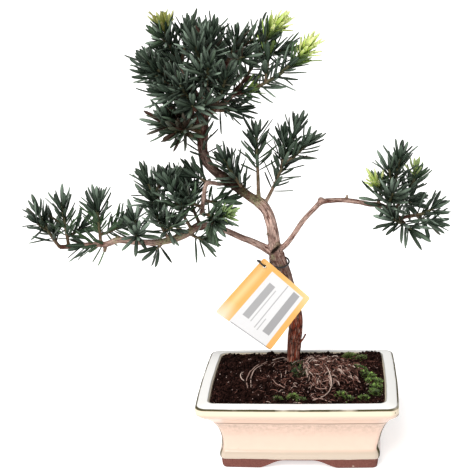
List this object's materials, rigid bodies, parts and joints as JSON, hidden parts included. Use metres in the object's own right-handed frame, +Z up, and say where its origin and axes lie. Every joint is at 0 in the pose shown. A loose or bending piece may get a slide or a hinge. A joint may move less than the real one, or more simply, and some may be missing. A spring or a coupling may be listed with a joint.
{
  "type": "buddhist pine bonsai",
  "caption": "Small Buddhist pine bonsai with a crooked trunk, spreading limbs of narrow dark leaves and a low rectangular glazed pot on clay feet.",
  "frame": {"origin": "on the surface that the pot stands on, under the middle of the whole tree's box", "axes": "+Z up, +X to the right along the pot's long side, +Y to the back; the pot's front faces -Y"},
  "size_m": [0.3601, 0.1358, 0.3904],
  "materials": {
    "glaze": "gloss",
    "soil": "matte",
    "bark": "matte",
    "root": "matte",
    "leaf": "satin",
    "young_leaf": "satin",
    "card": "satin",
    "tie": "satin",
    "screen": "matte"
  },
  "bodies": {
    "root": {"pot": "glaze", "drain_screen_left": "screen", "drain_screen_right": "screen", "soil": "soil", "trunk_and_limbs": "bark", "root_mat": "root", "hang_tag": "card", "tag_tie": "tie", "crown_low_left": "leaf", "crown_left_low": "leaf", "crown_left_mid": "leaf", "crown_left_tip": "leaf", "crown_left_back": "leaf", "crown_back_tip": "leaf", "crown_peak_left": "leaf", "crown_peak": "leaf", "crown_peak_back": "leaf", "crown_peak_right": "leaf", "crown_top_tip": "leaf", "crown_long_upper": "leaf", "crown_long_lower": "leaf", "crown_right_low": "leaf", "crown_front_high": "leaf", "crown_front_mid": "leaf", "crown_front_left": "leaf", "crown_front_right": "leaf", "crown_rear": "leaf", "crown_rear_right": "leaf", "bend_front": "leaf", "bend_rear": "leaf", "mid_upright": "leaf", "mid_leaning": "leaf", "bent_end": "leaf", "bent_left": "leaf", "bent_right": "leaf", "bent_top": "leaf", "left_pad_outer": "leaf", "left_pad_front": "leaf", "left_pad_rear": "leaf", "left_pad_low": "leaf", "left_mid": "leaf", "left_tall": "leaf", "left_upright": "leaf", "left_end": "leaf", "under_right": "leaf", "under_left": "leaf", "right_upright": "leaf", "right_behind": "leaf", "right_first": "leaf", "right_front": "leaf", "right_outer": "leaf", "right_under": "leaf", "young_crown_left": "young_leaf", "young_crown_peak": "young_leaf", "young_crown_right": "young_leaf", "young_right_first": "young_leaf", "young_right_behind": "young_leaf", "young_bent_end": "young_leaf"}
  },
  "joints": []
}
